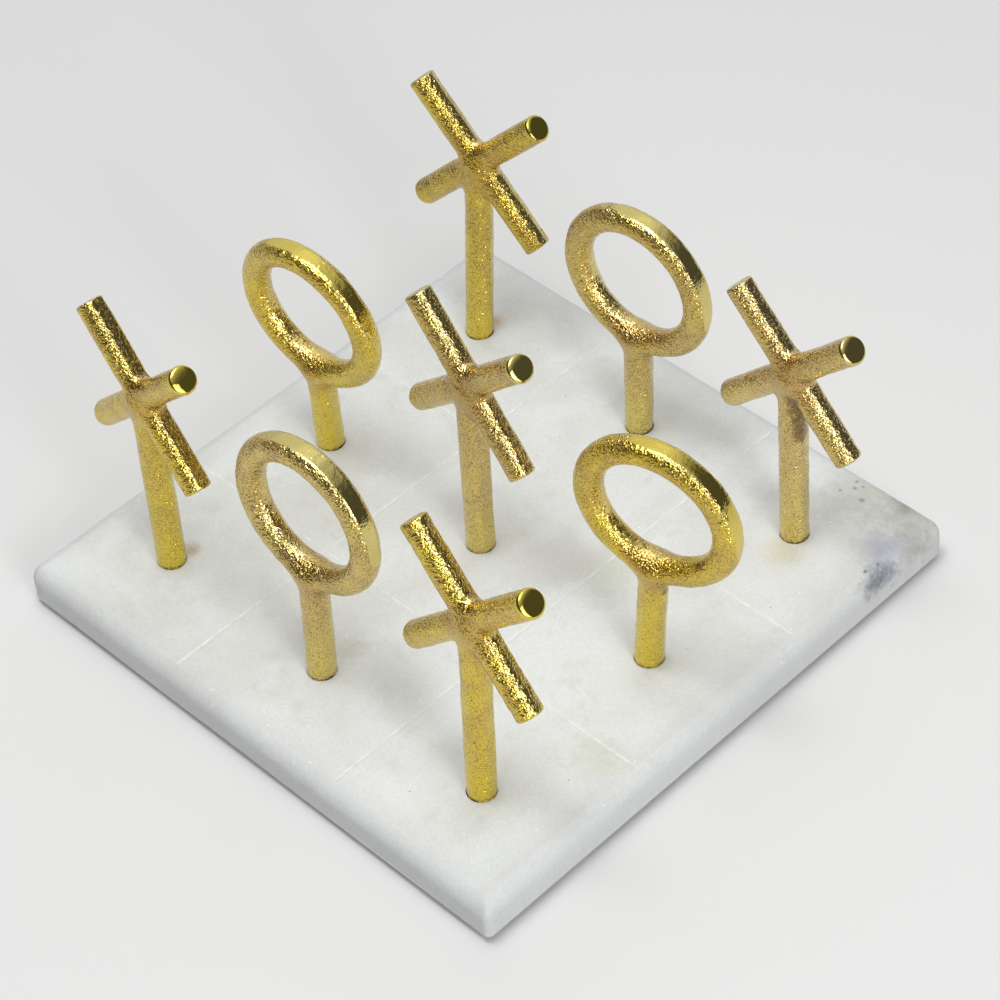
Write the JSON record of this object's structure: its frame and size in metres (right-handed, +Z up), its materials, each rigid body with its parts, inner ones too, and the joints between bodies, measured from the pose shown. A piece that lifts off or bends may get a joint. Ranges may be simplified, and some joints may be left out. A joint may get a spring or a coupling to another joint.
{
  "type": "tic-tac-toe board",
  "caption": "Square marble slab with a grid of blind holes that hold loose cast metal cross and ring pegs, for playing noughts and crosses.",
  "frame": {"origin": "on the table, under the middle of the slab", "axes": "+Z up, +X along the slab's near left edge towards the front corner, +Y along its near right edge away from the front corner; the flat sides of the pegs face -Y"},
  "size_m": [0.2059, 0.2042, 0.1147],
  "materials": {
    "marble": "honed, near white with cloudy grey and faint green patches",
    "cast_brass": "sand cast, hand filed and part polished, antique gold",
    "rubber": "matte"
  },
  "bodies": {
    "board": {"marble_slab": "marble", "rubber_foot_left": "rubber", "rubber_foot_front": "rubber", "rubber_foot_right": "rubber", "rubber_foot_back": "rubber"},
    "cross_left": {"cross_peg_left": "cast_brass"},
    "cross_front": {"cross_peg_front": "cast_brass"},
    "cross_centre": {"cross_peg_centre": "cast_brass"},
    "cross_back": {"cross_peg_back": "cast_brass"},
    "cross_right": {"cross_peg_right": "cast_brass"},
    "ring_left_front": {"ring_peg_left_front": "cast_brass"},
    "ring_right_front": {"ring_peg_right_front": "cast_brass"},
    "ring_left_back": {"ring_peg_left_back": "cast_brass"},
    "ring_right_back": {"ring_peg_right_back": "cast_brass"}
  },
  "joints": [
    {"name": "cross_left_lift", "type": "slide", "parent": "board", "child": "cross_left", "axis": [0, 0, 1], "range_m": [0, 0.112]},
    {"name": "cross_front_lift", "type": "slide", "parent": "board", "child": "cross_front", "axis": [0, 0, 1], "range_m": [0, 0.112]},
    {"name": "cross_centre_lift", "type": "slide", "parent": "board", "child": "cross_centre", "axis": [0, 0, 1], "range_m": [0, 0.112]},
    {"name": "cross_back_lift", "type": "slide", "parent": "board", "child": "cross_back", "axis": [0, 0, 1], "range_m": [0, 0.112]},
    {"name": "cross_right_lift", "type": "slide", "parent": "board", "child": "cross_right", "axis": [0, 0, 1], "range_m": [0, 0.112]},
    {"name": "ring_left_front_lift", "type": "slide", "parent": "board", "child": "ring_left_front", "axis": [0, 0, 1], "range_m": [0, 0.112]},
    {"name": "ring_right_front_lift", "type": "slide", "parent": "board", "child": "ring_right_front", "axis": [0, 0, 1], "range_m": [0, 0.112]},
    {"name": "ring_left_back_lift", "type": "slide", "parent": "board", "child": "ring_left_back", "axis": [0, 0, 1], "range_m": [0, 0.112]},
    {"name": "ring_right_back_lift", "type": "slide", "parent": "board", "child": "ring_right_back", "axis": [0, 0, 1], "range_m": [0, 0.112]}
  ]
}
